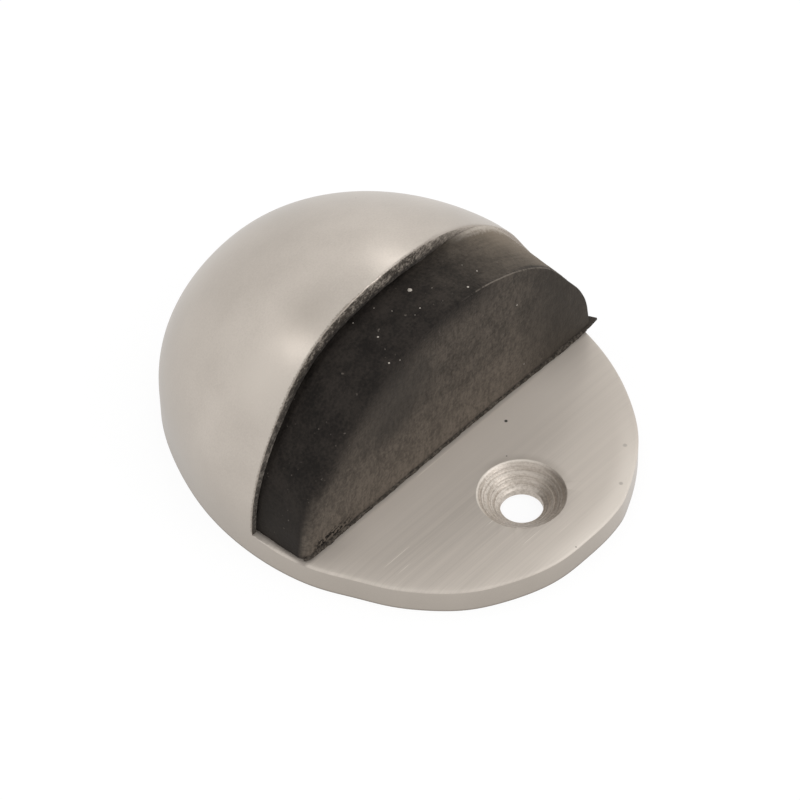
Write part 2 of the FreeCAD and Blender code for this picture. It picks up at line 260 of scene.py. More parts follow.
def makePiece(name, bm, materials, sharpAngle):  # a finished piece from a bmesh in mm
    bmesh.ops.remove_doubles(bm, verts=bm.verts, dist=near)
    bmesh.ops.recalc_face_normals(bm, faces=bm.faces)
    bmesh.ops.scale(bm, vec=(millimetre,) * 3, verts=bm.verts)
    mesh = bpy.data.meshes.new(name)
    bm.to_mesh(mesh)
    bm.free()
    for material in materials:
        mesh.materials.append(material)
    mesh.shade_smooth()
    mesh.set_sharp_from_angle(angle=math.radians(sharpAngle))
    piece = addObject(name, mesh)
    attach(piece, "root")
    print(name, len(mesh.polygons), "faces")
    return piece


def softStep(value):
    value = min(max(value, 0.0), 1.0)
    return value * value * (3 - 2 * value)


# Casting: the oval plate, the hood, the pocket for the rubber and the two screw holes

casting = {
    "halfWidth": 22.0,
    "frontReach": 25.5,
    "backReach": 26.8,
    "thickness": 3.0,
    "hoodRise": 21.0,
    "mouth": (21.4, 19.0),  # half width and rise
    "mouthEnd": 3.0,
    "pocket": (19.2, 16.8),
    "pocketEnd": 11.0,
    "meridians": 192,
    "parallels": 96,
    "toeSegments": 288,
    "edgeLean": 0.65,  # how far the hood's edge leans back at its top
    "shoulder": (60.0, 18.0, 0.45),  # degrees up, degrees wide, mm further back
    "shoulderArea": (("z", 14.0, 21.2), ("z", 24.0, 22.8)),  # where that shows, for the finishes
    "edgeRound": 0.3,  # the outer edge of the rim is worn round
    # each ring of the rim: share of its width inwards, and share of edgeRound by which it still lies back
    "rimSteps": (
        (0.02, 0.45), (0.07, 0.12), (0.15, 0.0), (0.35, 0.0), (0.6, 0.0), (0.85, 0.0), (1.0, 0.0),
    ),
    "rimMetal": 2,  # so many of these rings still have the finish of the hood
    "rimRoughness": (0.07, 1.9),  # mm, and turns in a mm
    "shoulderWear": (28.0, 9.0, 0.37, 1.6),  # degrees up on the right, degrees wide, mm off, mm back
    "wearFade": 3.0,  # how fast that begins above the foot
    "flatsFade": 5.0,  # how fast the flats of the hood begin behind its mouth
    "footFade": 4.0,  # mm in front of the hood over which the plate's edge gets its form
    "sharpAngle": 32,
}
castingFinish = {"satin": 0, "rim": 1, "brushed": 2, "turned": 3, "pocket": 4, "underside": 5}
# hand grinding left the shell not quite even: direction, degrees wide, mm out or in
hoodFlats = (
    ((-0.57, 0.82, 0.1), 17.0, 0.24),
    ((-0.87, 0.5, 0.0), 13.0, -0.14),
    ((-0.1, 0.895, 0.43), 15.0, -0.15),
)
# nor is the outline of the plate quite even: degrees round, degrees wide, mm out or in
plateFlats = ((-50, 8, 0.12), (-74, 4, 0.1), (-90, 9, -0.28), (-126, 9, 0.22), (-153, 8, -0.3))
# each ring of the plate's top edge: distance in from the outline, and drop below the flat
plateEdge = (
    (0.0, 0.36), (0.05, 0.24), (0.17, 0.15), (0.32, 0.11),
    (0.7, 0.075), (1.3, 0.04), (2.2, 0.012), (3.4, 0.0),
)
floorHole = {
    "centre": (0.0, -16.4, 0.0),
    "mouthRadius": 4.5,
    "mouthRound": 0.12,
    "mouthSteps": ((1.0, 0.0), (0.35, 0.2), (-0.6, 1.0)),  # shares of that out from the mouth, and down
    "radius": 2.2,
    "landTop": 1.07,
    "rings": (0.16, 0.3, 0.52, 0.6, 0.78),  # where the cutter left a ring, as a share of the cone
    "ringDepth": 0.022,
    "ringWidth": 0.02,
    "underBevel": 0.36,
    "steps": 128,
}
screwSeat = {"centre": (0.0, 5.0, 0.0), "radius": 1.95, "mouthRadius": 3.5, "landTop": 1.55, "steps": 64}


def archPoint(across, rise, angle, y, shift=0.0):
    return Vector((shift + across * math.cos(angle), y, casting["thickness"] + rise * math.sin(angle)))


def wayOut(angle):
    return Vector((math.cos(angle), 0.0, math.sin(angle)))


def hoodEdge(angle):  # how far back from the widest line the hood's edge lies
    climb = min(angle, math.pi - angle)
    middle, spread, depth = casting["shoulder"]
    return casting["edgeLean"] * math.sin(climb) ** 2 + depth * swell(math.degrees(climb), middle, spread)


def swell(value, middle, spread):  # 1 at the middle, fading to both sides
    return math.exp(-(((value - middle) / spread) ** 2))


def hoodFlat(direction):
    flats = 0.0
    for towards, spread, depth in hoodFlats:
        flats += depth * swell(math.degrees(direction.angle(Vector(towards))), 0.0, spread)
    return flats * softStep(direction.y * casting["flatsFade"])


def shoulderWear(angle, behindEdge):  # how much is worn off the hood's right shoulder
    middle, spread, depth, back = casting["shoulderWear"]
    worn = depth * swell(math.degrees(angle), middle, spread) * swell(behindEdge, 0.0, back)
    return worn * softStep(angle * casting["wearFade"])


def growHood(bm, theta):
    bmesh.ops.create_uvsphere(
        bm, u_segments=casting["meridians"], v_segments=casting["parallels"], radius=1.0
    )
    bmesh.ops.rotate(bm, verts=bm.verts, cent=(0, 0, 0), matrix=Matrix.Rotation(-math.pi / 2, 3, "X"))
    for direction in ((0, 1, 0), (0, 0, 1)):
        everything = bm.verts[:] + bm.edges[:] + bm.faces[:]
        bmesh.ops.bisect_plane(
            bm, geom=everything, dist=near, plane_co=(0, 0, 0), plane_no=direction, clear_inner=True
        )
    front = [edge for edge in bm.edges if all(abs(vert.co.y) < near for vert in edge.verts)]
    footEdges = [edge for edge in bm.edges if all(abs(vert.co.z) < near for vert in edge.verts)]
    for vert in bm.verts:
        x, y, z = vert.co
        vert[theta] = math.atan2(max(z, 0.0), x) if abs(z) > near else (0.0 if x > 0 else math.pi)
        edge = hoodEdge(vert[theta]) + casting["edgeRound"] * math.sin(vert[theta])
        setback = math.asin(edge / casting["backReach"])
        climb = setback + math.asin(min(max(y, 0.0), 1.0)) * (1 - 2 * setback / math.pi)
        across = casting["halfWidth"] * math.cos(climb)
        rise = casting["hoodRise"] * math.cos(climb)
        direction = archPoint(math.cos(climb), math.cos(climb), vert[theta], math.sin(climb))
        direction.z -= casting["thickness"]
        vert.co = archPoint(across, rise, vert[theta], casting["backReach"] * math.sin(climb))
        vert.co += direction * (hoodFlat(direction) - shoulderWear(vert[theta], vert.co.y - edge))
    extrudeTo(bm, footEdges, lambda vert: Vector((vert.co.x, vert.co.y, 0.0)))
    return front


def growMouth(bm, theta, chain):  # the rim of the hood, then the mouth and the pocket behind it
    wide, tall = casting["halfWidth"], casting["hoodRise"]
    mouthWide, mouthTall = casting["mouth"]
    rough, rate = casting["rimRoughness"]
    for number, (share, back) in enumerate(casting["rimSteps"]):

        def onRim(vert):
            across = wide + (mouthWide - wide) * share
            rise = tall + (mouthTall - tall) * share
            point = archPoint(across, rise, vert[theta], hoodEdge(vert[theta]))
            level = math.sin(vert[theta])
            point -= wayOut(vert[theta]) * shoulderWear(vert[theta], 0.0) * (1 - share)
            point.y += (casting["edgeRound"] * back + rough * noise.noise(point * rate)) * level
            return point

        finish = castingFinish["rim" if number >= casting["rimMetal"] else "satin"]
        chain = extrudeTo(bm, chain, onRim, finish)
    stations = (
        (casting["mouth"], casting["mouthEnd"]),
        (casting["pocket"], casting["mouthEnd"]),
        (casting["pocket"], casting["pocketEnd"]),
    )
    pocket = castingFinish["pocket"]
    for (across, rise), y in stations:
        chain = extrudeTo(bm, chain, lambda vert: archPoint(across, rise, vert[theta], y), pocket)
    capArch(bm, chain, theta, pocket)


def growToe(bm, theta):  # the wall and the top edge of the plate in front of the hood
    made = bmesh.ops.create_circle(bm, segments=casting["toeSegments"], radius=1.0)["verts"]
    for vert in made:
        vert[theta] = math.atan2(vert.co.y, vert.co.x)
    made, chain = keepOnly(bm, made, lambda vert: vert.co.y <= near)

    def toePoint(vert, inset, drop):
        across, along = casting["halfWidth"], casting["frontReach"]
        point = Vector((across * math.cos(vert[theta]), along * math.sin(vert[theta]), 0.0))
        outward = Vector((point.x / across**2, point.y / along**2, 0.0)).normalized()
        fade = softStep(-point.y / casting["footFade"])
        turn = math.degrees(vert[theta])
        flats = sum(depth * swell(turn, middle, spread) for middle, spread, depth in plateFlats)
        point += outward * (flats - inset) * fade
        point.z = casting["thickness"] - drop * fade
        return point

    for vert in made:
        vert.co = toePoint(vert, 0.0, 0.0)
        vert.co.z = 0.0
    for number, (inset, drop) in enumerate(plateEdge):
        finish = castingFinish["brushed" if number else "satin"]
        chain = extrudeTo(bm, chain, lambda vert: toePoint(vert, inset, drop), finish)


def holeProfile():  # the countersink with the rings that the cutter left, down to the underside
    top = casting["thickness"]
    mouth, radius, land = floorHole["mouthRadius"], floorHole["radius"], floorHole["landTop"]
    soft = floorHole["mouthRound"]
    points = [(mouth + soft * out, top - soft * down) for out, down in floorHole["mouthSteps"]]
    begin = points[-1]
    for share in floorHole["rings"]:
        for step, sink in ((-1.0, 0.0), (0.0, 1.0), (1.0, 0.0)):
            along = share + step * floorHole["ringWidth"]
            across = begin[0] + (radius - begin[0]) * along
            height = begin[1] + (land - begin[1]) * along
            points.append((across + sink * floorHole["ringDepth"], height - sink * floorHole["ringDepth"]))
    bevel = floorHole["underBevel"]
    return points + [(radius, land), (radius, bevel), (radius + bevel, 0.0)]


def makeCasting():
    bm = bmesh.new()
    theta = bm.verts.layers.float.new("theta")
    growMouth(bm, theta, growHood(bm, theta))
    growToe(bm, theta)
    turnHole(bm, floorHole["centre"], holeProfile(), floorHole["steps"], castingFinish["turned"])
    mouth, radius, land = screwSeat["mouthRadius"], screwSeat["radius"], screwSeat["landTop"]
    seatProfile = ((radius, casting["thickness"]), (radius, land), (mouth, 0.0))
    turnHole(bm, screwSeat["centre"], seatProfile, screwSeat["steps"], castingFinish["pocket"])
    bmesh.ops.remove_doubles(bm, verts=bm.verts, dist=near)
    fillLevel(bm, casting["thickness"], castingFinish["brushed"])
    fillLevel(bm, 0.0, castingFinish["underside"])
    bm.verts.layers.float.remove(theta)
    materials = [satinNickel(), castRim(), brushedNickel(), turnedNickel(), castPocket(), castUnderside()]
    piece = makePiece("hood_casting", bm, materials, casting["sharpAngle"])
    normals = piece.modifiers.new("normals", "WEIGHTED_NORMAL")
    normals.keep_sharp = True
    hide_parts("hood_body")
    return piece


# Finishes of the casting

# A noise is its turns in a mm, detail and roughness, then its stretch, turn and shift.
# An area is a row of soft steps along an axis: from and to in mm, and the shares there if not 0 and 1.
# A coat is a tone, its strength and area and, where it follows a field, where that begins and is full.

nickel = {
    "bright": tone(0.58, 0.525, 0.468),
    "dull": tone(0.49, 0.441, 0.391),
    # the tone of the painted shade and of a painted reflection on the hood
    "low": tone(0.37, 0.33, 0.288),
    "brushed": tone(0.62, 0.562, 0.50),
    "brushedDull": tone(0.535, 0.483, 0.43),
    "shaded": tone(0.35, 0.30, 0.255),
    # a dark tone for pits and grime, and for painted shade
    "grimeAndShade": tone(0.12, 0.10, 0.085),
}
satin = {
    "noises": {
        "cloud": ((0.16, 3.0, 0.5),),
        "grain": ((5.0, 3.0, 0.7),),
        "strokes": ((0.9, 3.0, 0.6), (0.35, 5.0, 1.4), (0.0, 0.0, 0.35)),
    },
    "levels": (0.3, 0.7),
    "paintedReflections": (  # painted reflections on the hood, one dark and one light: place and radius in mm, tone, strength
        ((-9.4, 3.6, 21.8), 5.0, nickel["low"], 0.5),
        ((-15.5, 4.3, 17.5), 6.0, nickel["brushed"], 0.8),
    ),
    "paintedShades": (
        # painted shade: darker low on the left
        (nickel["low"], 0.7, (("z", 12.0, 0.0), ("x", 12.0, -2.0))),
        # painted shade: darker towards the back
        (nickel["low"], 0.35, (("y", 8.0, 20.0),)),
        # painted shade at the upper right
        (nickel["low"], 0.25, (("x", 5.0, 14.0), ("z", 11.0, 18.0), ("y", 9.0, 2.0))),
        # a painted contact shadow along the bottom of the wall
        (nickel["grimeAndShade"], 0.5, (("z", 0.3, 0.0),)),
    ),
    # these follow the distance in front of the hood's edge
    "worn": (tone(0.2, 0.17, 0.14), 0.7, (("z", 3.0, 3.6), ("x", 9.0, 3.0)), -0.28, -0.05),
    "smeared": (
        tone(0.22, 0.186, 0.152), 1.0,
        (("x", 4.0, 12.0), ("z", 9.0, 14.0), ("x", 10.0, 15.0, 0.45, 0.25)), -0.6, 0.5,
    ),
    "specks": (0.11, 0.011, 0.6),  # in a mm, size, strength
    "bump": 0.02,
}


def archShares(shader, sides, shift=0.0):  # place on an arch, as shares of its half width and rise
    x, z = shader.axes("xz")
    return (x - shift) * (1 / sides[0]), (z - casting["thickness"]) * (1 / sides[1])


def hoodLine(shader, roughness):  # distance in mm in front of the edge of the hood
    _, up = archShares(shader, (casting["halfWidth"], casting["hoodRise"]))
    shoulder = shader.area(casting["shoulderArea"]) * casting["shoulder"][2]
    return up * up * casting["edgeLean"] + shoulder - shader.axis("y") + roughness


def addSpecks(shader, colour, kind):  # few and small dark pits
    scale, size, strength = kind
    cells = shader.node("TexVoronoi", {}, {"Vector": shader.place(), "Scale": scale})
    return shader.blend(shader.ramp(cells, size * 0.5, size, strength, 0.0), colour, nickel["grimeAndShade"])


def satinNickel():
    shader = Shader("satin_nickel")
    cloud, grain, strokes = shader.noises(satin["noises"])
    level = shader.ramp(cloud * 0.5 + grain * 0.5, *satin["levels"])
    colour = shader.blend(level, nickel["dull"], nickel["bright"])
    # painted reflections, one dark and one light, laid on the hood
    for middle, radius, reflectionTone, strength in satin["paintedReflections"]:
        away = distance(shader.axes("xyz"), middle)
        colour = shader.blend(shader.ramp(away, radius, 0.0, 0.0, strength), colour, reflectionTone)
    # painted shade laid over the hood's colour
    for kind in satin["paintedShades"]:
        colour = shader.coat(colour, kind)
    edge = hoodLine(shader, grain * 0.8 - 0.4)
    colour = shader.coat(colour, satin["worn"], edge)
    colour = shader.coat(colour, satin["smeared"], edge)
    return shader.finish(
        Base_Color=addSpecks(shader, colour, satin["specks"]),
        Metallic=0.9,
        Roughness=0.25 + cloud * 0.06 + grain * 0.1,
        Normal=shader.bump(grain * 0.5 + strokes * 0.5, satin["bump"]),
    )


brushed = {
    "noises": {
        "fine": ((1.0, 3.0, 0.6), (0.06, 7.0, 1.0)),
        "coarse": ((1.0, 2.0, 0.5), (0.035, 1.6, 1.0), (0.0, 0.0, 0.0), (3.0, 1.0, 0.0)),
        "cloud": ((0.12, 2.0, 0.5),),
        "scratch": ((1.0, 1.0, 0.5), (0.09, 3.2, 1.0), (0.0, 0.0, 0.0), (9.0, 4.0, 0.0)),
    },
    "levels": (0.33, 0.67),
    "fainter": (("x", -2.0, 8.0, 1.0, 0.5),),  # the brushing is less clear on the right
    "scratched": (0.72, 0.76),
    "scratchArea": (("x", 4.0, -6.0),),
    "scratchInside": (0.9, 0.75),
    # a painted highlight along the top edge of the plate at the lower right, by the share of the way out
    "edge": (tone(0.76, 0.70, 0.63), 0.6, (("x", -9.0, 0.0), ("x", 17.0, 9.0)), 0.80, 0.96),
    # painted light on the plate in front of the rubber
    "paintedLightNearRubber": (
        tone(0.78, 0.712, 0.64), 0.75, (("x", -21.0, -12.0), ("x", 20.0, 11.0), ("y", -14.0, -7.0)),
    ),
    # pits in the plate: pixel, radius in mm, how dark
    "pits": (
        ((506, 421), 0.24, 1.0), ((625, 445), 0.3, 0.25), ((621, 483), 0.28, 0.3), ((576, 546), 0.12, 0.5),
    ),
    "pit": tone(0.02, 0.016, 0.013),
    # painted shade on the right of the countersink's mouth
    "lip": (nickel["shaded"], 0.35, (), 1.5, 4.5),
    "lipWidth": (1.1, 0.1),  # mm outside the countersink, where it begins and where it is full
    # painted shade on the plate beside the rubber's flank, and in the next, along the rubber's foot
    "besideFlank": (
        nickel["grimeAndShade"], 0.6, (("x", -21.6, -21.15), ("x", -19.0, -20.0), ("y", -6.9, -6.3)),
    ),
    "besideFoot": (nickel["grimeAndShade"], 0.45, (("x", -21.0, -20.4),), -6.9, -6.2),
    "scratch": (tone(0.92, 0.87, 0.79), 0.5, ()),
    "specks": (0.13, 0.014, 0.8),
    "bump": 0.005,
}


def brushedNickel():
    shader = Shader("brushed_nickel")
    fine, coarse, cloud, scratches = shader.noises(brushed["noises"])
    x, y = shader.axes("xy")
    level = shader.ramp(fine * 0.45 + coarse * 0.35 + cloud * 0.2, *brushed["levels"])
    level = 0.5 + (level - 0.5) * shader.area(brushed["fainter"])
    colour = shader.blend(level, nickel["brushedDull"], nickel["brushed"])
    outward = squareSum((x * (1 / casting["halfWidth"]), y * (1 / casting["frontReach"])))
    # painted highlight along the plate's edge
    colour = shader.coat(colour, brushed["edge"], outward)
    # painted light in front of the rubber
    colour = shader.coat(colour, brushed["paintedLightNearRubber"])
    for pixel, size, depth in brushed["pits"]:
        start, ray = sightLine(pixel)
        spot = start + ray * ((casting["thickness"] - start.z) / ray.z)
        pit = shader.ramp(distance((x, y), spot), size, size * 0.4, 0.0, depth)
        colour = shader.blend(pit, colour, brushed["pit"])
    centre, mouth = floorHole["centre"], floorHole["mouthRadius"]
    outer, inner = brushed["lipWidth"]
    lip = shader.ramp(distance((x, y), centre), mouth + outer, mouth + inner)
    colour = shader.coat(colour, brushed["lip"], x + (y - centre[1]) * 0.6, lip)
    # painted shade on the plate beside the rubber
    colour = shader.coat(colour, brushed["besideFlank"])
    colour = shader.coat(colour, brushed["besideFoot"], y + fine * 0.4)
    scratch = shader.ramp(scratches, *brushed["scratched"]) * shader.area(brushed["scratchArea"])
    scratch = scratch * shader.ramp(outward, *brushed["scratchInside"])
    colour = shader.coat(colour, brushed["scratch"], share=scratch)
    return shader.finish(
        Base_Color=addSpecks(shader, colour, brushed["specks"]),
        Metallic=0.5,
        Roughness=0.55 + fine * 0.08 - scratch * 0.05,
        Normal=shader.bump(fine * 0.6 + coarse * 0.5, brushed["bump"]),
    )


rim = {
    "noises": {"grains": ((2.6, 4.0, 0.75),), "patches": ((0.5, 2.0, 0.5),)},
    "levels": (0.58, 0.82),
    "tones": (tone(0.075, 0.062, 0.05), tone(0.42, 0.365, 0.31)),
    # painted shade: a dark line along the inner part of the rim, where the gap to the rubber is
    "line": (tone(0.025, 0.021, 0.018), 0.85, (), 0.90, 0.83),
    "lineBend": 0.155,  # how much further out the dark line runs at the foot
    "rightLevels": (0.86, 1.0),
    "rightTones": (tone(0.17, 0.145, 0.12), tone(0.42, 0.372, 0.322)),
    "rightSmear": (tone(0.56, 0.50, 0.445), 0.9, (("x", 9.0, 12.0),)),
    "rightArea": (("x", 3.0, 12.0, 0.0, 0.9),),
    "leftTones": (tone(0.075, 0.064, 0.054), tone(0.28, 0.246, 0.212)),
    "leftArea": (("x", -12.0, -19.0),),
    "foot": (tone(0.09, 0.076, 0.062), 0.6, (), 0.1, 0.0),
    "bump": 0.16,
}


def castRim():
    shader = Shader("cast_rim")
    grains, patches = shader.noises(rim["noises"])
    light = shader.ramp(grains + patches * 0.3, *rim["levels"])
    across, up = archShares(shader, (casting["halfWidth"], casting["hoodRise"]))
    outward = squareSum((across, up))
    colour = shader.blend(light, *rim["tones"])
    line = outward - across * across * rim["lineBend"] + grains * 0.08 - 0.04
    # painted shade of the gap to the rubber
    colour = shader.coat(colour, rim["line"], line)
    level = shader.ramp(outward + grains * 0.12 - 0.06, *rim["rightLevels"])
    right = shader.coat(shader.blend(level, *rim["rightTones"]), rim["rightSmear"])
    colour = shader.blend(shader.area(rim["rightArea"]), colour, right)
    left = shader.blend(light, *rim["leftTones"])
    colour = shader.blend(shader.area(rim["leftArea"]), colour, left)
    return shader.finish(
        Base_Color=shader.coat(colour, rim["foot"], up),
        Metallic=0.35,
        Roughness=0.62,
        Normal=shader.bump(grains, rim["bump"]),
    )


turning = {
    "rings": (5.0, 0.3, (1.0, 3.0, 0.6)),  # turns in a mm outwards and sideways, and the noise
    "noises": {"grains": ((4.0, 3.0, 0.7),)},
    "levels": (0.36, 0.62),
    "tones": (tone(0.45, 0.395, 0.34), tone(0.74, 0.675, 0.605)),
    "shade": (nickel["shaded"], 0.5, (), 0.6, 3.6),
    "burrHighlight": (tone(0.84, 0.78, 0.70), 0.6, (), -0.12, 0.08),  # a painted highlight on the back of the rounded mouth: mm from the mouth
    "burrHighlightBack": (-1.0, 3.0),  # mm behind the middle
    "bump": 0.06,
}


def turnedNickel():
    shader = Shader("turned_nickel")
    (grains,) = shader.noises(turning["noises"])
    x, y = shader.axes("xy")
    y = y - floorHole["centre"][1]
    radius = squareSum((x, y)) ** 0.5
    outwards, sideways, kind = turning["rings"]
    turned = shader.node("CombineXYZ", {}, {0: radius * outwards, 1: x * sideways, 2: y * sideways})
    turned = shader.noise(turned, *kind)
    colour = shader.blend(shader.ramp(grains * 0.5 + turned * 0.5, *turning["levels"]), *turning["tones"])
    colour = shader.coat(colour, turning["shade"], x * 0.95 + y * 0.2)
    # painted highlight along the back of the mouth
    burrHighlight = radius + turned * 0.1 - floorHole["mouthRadius"]
    colour = shader.coat(colour, turning["burrHighlight"], burrHighlight, shader.ramp(y, *turning["burrHighlightBack"]))
    return shader.finish(
        Base_Color=colour,
        Metallic=0.75,
        Roughness=0.36 + grains * 0.12,
        Normal=shader.bump(grains * 0.5 + turned * 0.5, turning["bump"]),
    )


castSkin = {
    "pocketNoises": {"grains": ((1.5, 4.0, 0.7),)},
    "pocketTones": (tone(0.05, 0.045, 0.04), tone(0.22, 0.2, 0.18)),
    "pocketBump": 0.12,
    "undersideNoises": {"grains": ((1.2, 4.0, 0.65),), "cloud": ((0.15, 3.0, 0.5),)},
    "undersideLevels": (0.3, 0.7),
    "undersideTones": (tone(0.36, 0.32, 0.28), tone(0.52, 0.47, 0.41)),
    "undersideBump": 0.08,
}


def castPocket():
    shader = Shader("cast_pocket")
    (grains,) = shader.noises(castSkin["pocketNoises"])
    return shader.finish(
        Base_Color=shader.blend(grains, *castSkin["pocketTones"]),
        Metallic=0.6,
        Roughness=0.6,
        Normal=shader.bump(grains, castSkin["pocketBump"]),
    )


def castUnderside():
    shader = Shader("cast_underside")
    grains, cloud = shader.noises(castSkin["undersideNoises"])
    level = shader.ramp(cloud * 0.6 + grains * 0.4, *castSkin["undersideLevels"])
    return shader.finish(
        Base_Color=shader.blend(level, *castSkin["undersideTones"]),
        Metallic=0.9,
        Roughness=0.5 + grains * 0.1,
        Normal=shader.bump(grains, castSkin["undersideBump"]),
    )


# Rubber: the moulded block, its ragged foot and the flash at its right-hand corner

rubber = {
    "mouth": (21.2, 18.8),  # half width and rise where it leaves the hood
    "ahead": 0.04,  # mm in front of the hood's edge, where the flank begins
    "smear": (54.0, 18.0, 1.6),  # degrees up on the right where it lies flush with the hood, wide, mm up
    "smearFade": 1.5,  # power by which that fades towards the front
    "shrunk": (125.0, 35.0, 0.2),  # degrees up on the left where a gap to the hood shows, wide, mm in
    "shrunkShare": 0.05,  # share of the way to the front over which the gap closes
    "corner": (30.5, 11.0, 0.58),  # degrees up on the right where it is flattened, wide, mm off
    "front": (21.55, 19.0),
    "frontShift": 0.5,  # the front sits a little to the right
    "frontY": -6.3,
    "noseEnd": 2.9,
    "plug": (19.0, 16.6),
    "plugEnd": 10.9,
    "segments": 256,
    "stations": 26,
    "flankShare": 0.84,  # of the way to the front, where the stations end
    "faceRings": 26,
    "edgeRound": (0.22, 1.1),  # at the top and right, and at the left
    "roundAngles": (95, 60),  # degrees up where it begins to change, and over how many
    "roundTurns": (0, 18, 36, 54, 72, 90),
    "bow": (4.0, 0.1),  # where the face is hollow at its foot, and how deep
    "bowFade": 1.5,  # power by which it fades upwards
    "bowSpread": (12.0, 8.0),  # to the left and to the right
    "lumps": ((0.35, 0.05), (1.4, 0.02)),  # size as turns in a mm, height
    "lumpsFade": 6,  # how fast they begin inwards from the outline of the face
    "pilotRadius": 1.85,
    "pilotTop": 12.3,
    "pilotY": 5.0,
    "pilotSteps": 48,
    "nick": (17.5, 1.6, 0.14),  # degrees up from the right, degrees wide, depth
    "sharpAngle": 48,
}
foot = {
    "steps": 260,
    "short": 0.1,  # mm less than the half width of the face
    "ends": 0.8,  # mm over which it runs out at each end
    # each line along the bead: share outwards and share up
    "profile": ((0.0, 0.0), (0.0, 1.0), (0.45, 1.0), (0.75, 0.8), (0.95, 0.4), (1.0, 0.02), (0.0, 0.0)),
    "width": (0.2, 0.1),  # least, and how much it varies
    "height": (0.16, 0.2),
    "usual": 0.5,  # share of what varies, to which the waves are added
    "waves": ((0.7, 0.7, 3.1, 0.0), (0.5, 2.6, 7.3, 1.0)),  # share, turns in a mm, lane, turns upwards
    "thick": (-17.2, 1.9, 0.06),  # where it is thickest, over what length, how much more
    "thickUp": 1.2,  # times as much more in height
    "crumbs": (0.14, 2.4, 5.2, 2.0),  # how far crumbs stand out there, turns in a mm, lane, turns upwards
    "wide": (16.8, 4.0, 0.15),  # where it reaches further out, over what length, how far
    "sink": 0.2,
    "finish": 1,  # the second material of the block
}
flash = {
    "outline": (
        (20.0, -6.0), (21.0, -6.5), (21.9, -6.5), (23.2, -6.33),
        (22.5, -4.8), (21.6, -2.6), (21.2, -1.3), (20.0, -1.3),
    ),
    "thickness": 0.34,
    "roundness": 0.1,
}


def lumps(point):
    return sum(height * noise.noise(point * rate) for rate, height in rubber["lumps"])


def faceY(point):  # the front face is hollow towards its foot, to the right of the middle
    where, depth = rubber["bow"]
    spread = rubber["bowSpread"][0 if point.x < where else 1]
    level = (point.z - casting["thickness"]) / rubber["front"][1]
    hollow = depth * swell(point.x, where, spread) * softStep(1 - level) ** rubber["bowFade"]
    return rubber["frontY"] + hollow


def edgeRound(angle):
    least, most = rubber["edgeRound"]
    begin, length = rubber["roundAngles"]
    return least + (most - least) * softStep((math.degrees(angle) - begin) / length)


def nosePoint(angle, share, smear=1.0):  # share runs from the hood to the front
    across, rise = (
        start + (end - start) * share for start, end in zip(rubber["mouth"], rubber["front"])
    )
    start = hoodEdge(angle) - rubber["ahead"] * smear
    y = start + (rubber["frontY"] - start) * share
    point = archPoint(across, rise, angle, y, rubber["frontShift"] * share)
    middle, spread, height = rubber["smear"]
    raised = height * swell(math.degrees(angle), middle, spread) * (1 - share) ** rubber["smearFade"] * smear
    middle, spread, gap = rubber["shrunk"]
    sunken = gap * swell(math.degrees(angle), middle, spread) * swell(share, 0.0, rubber["shrunkShare"])
    return point + wayOut(angle) * (lumps(point) * smear + raised - sunken - cornerFlat(angle) * share**2)


def cornerFlat(angle):
    middle, spread, depth = rubber["corner"]
    return depth * swell(math.degrees(angle), middle, spread)


def frontOutline(angle, turn):  # the rounded edge of the face; turn is 0 on the flank and 90 on the face
    soft = edgeRound(angle)
    inset = soft * (1 - math.cos(math.radians(turn)))
    across, rise = rubber["front"]
    point = archPoint(across - inset, rise - inset, angle, 0.0, rubber["frontShift"])
    where, spread, depth = rubber["nick"]
    bite = depth * swell(math.degrees(angle), where, spread) * turn / 90 + cornerFlat(angle)
    point += wayOut(angle) * (lumps(Vector((point.x, rubber["frontY"], point.z))) - bite)
    point.y = faceY(point) + soft * (1 - math.sin(math.radians(turn)))
    return point


def makeRubber():
    bm = bmesh.new()
    theta = bm.verts.layers.float.new("theta")
    made = bmesh.ops.create_circle(bm, segments=rubber["segments"], radius=1.0)["verts"]
    for vert in made:
        vert[theta] = math.atan2(vert.co.y, vert.co.x)
    made, chain = keepOnly(bm, made, lambda vert: vert.co.y >= -near)
    for vert in made:
        vert[theta] = max(vert[theta], 0.0) if vert.co.x > 0 else abs(vert[theta])
        vert.co = archPoint(*rubber["plug"], vert[theta], rubber["plugEnd"])
    capArch(bm, chain, theta)
    for across, rise in (rubber["plug"], rubber["mouth"]):
        chain = extrudeTo(bm, chain, lambda vert: archPoint(across, rise, vert[theta], rubber["noseEnd"]))
    chain = extrudeTo(bm, chain, lambda vert: nosePoint(vert[theta], 0.0, 0.0))
    for station in range(rubber["stations"]):
        share = station / rubber["stations"] * rubber["flankShare"]
        chain = extrudeTo(bm, chain, lambda vert: nosePoint(vert[theta], share))
    for turn in rubber["roundTurns"]:
        chain = extrudeTo(bm, chain, lambda vert: frontOutline(vert[theta], turn))
    middle = Vector((rubber["frontShift"], 0.0, casting["thickness"]))
    for ring in range(1, rubber["faceRings"] + 1):
        share = 1 - ring / rubber["faceRings"]

        def onFace(vert):
            outline = frontOutline(vert[theta], 90)
            point = Vector((0.0, 0.0, 0.0))
            point.x = middle.x + (outline.x - middle.x) * share
            point.z = middle.z + (outline.z - middle.z) * share
            point.y = faceY(point)
            point.y += lumps(point) * softStep((1 - share) * rubber["lumpsFade"])
            return point

        chain = extrudeTo(bm, chain, onFace)
    bmesh.ops.remove_doubles(bm, verts=bm.verts, dist=near)
    pilot = (0.0, rubber["pilotY"], 0.0)
    radius, top = rubber["pilotRadius"], rubber["pilotTop"]
    profile = ((radius, casting["thickness"]), (radius, top), (0.0, top))
    turnHole(bm, pilot, profile, rubber["pilotSteps"])
    bmesh.ops.remove_doubles(bm, verts=bm.verts, dist=near)
    fillLevel(bm, casting["thickness"])
    bm.verts.layers.float.remove(theta)
    growFoot(bm)
    growFlash(bm)
    piece = makePiece("rubber_block", bm, [blackRubber(), rubberFoot()], rubber["sharpAngle"])
    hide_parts("rubber_buffer")
    return piece


